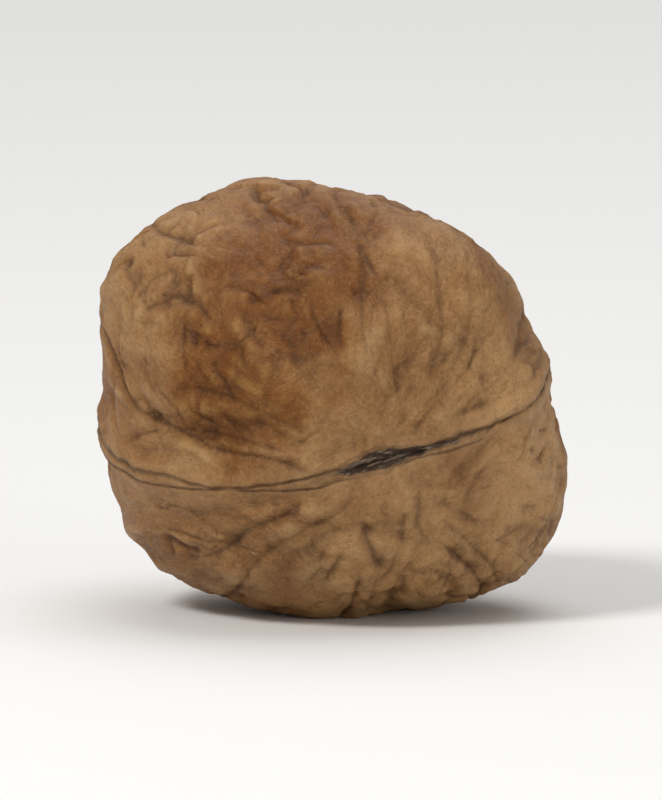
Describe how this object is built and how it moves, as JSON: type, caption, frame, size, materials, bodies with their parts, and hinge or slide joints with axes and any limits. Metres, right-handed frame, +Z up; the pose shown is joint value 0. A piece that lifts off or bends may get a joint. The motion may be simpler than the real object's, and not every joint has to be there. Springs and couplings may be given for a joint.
{
  "type": "walnut",
  "caption": "Whole walnut in its closed woody shell, round with a raised suture and a pointed tip, resting on a small flat spot; food prop or filler for a bowl, bag or table.",
  "frame": {"origin": "on the table, under the middle of the nut's bounding box, at the height of its flat spot", "axes": "+Z up from the flat spot, +Y along the longest extent towards the pointed tip, -Y towards the stem end, +X to the right as seen from the stem end"},
  "size_m": [0.0382, 0.0422, 0.0351],
  "materials": {
    "shell": "matte"
  },
  "bodies": {
    "root": {"walnut": "shell"}
  },
  "joints": []
}
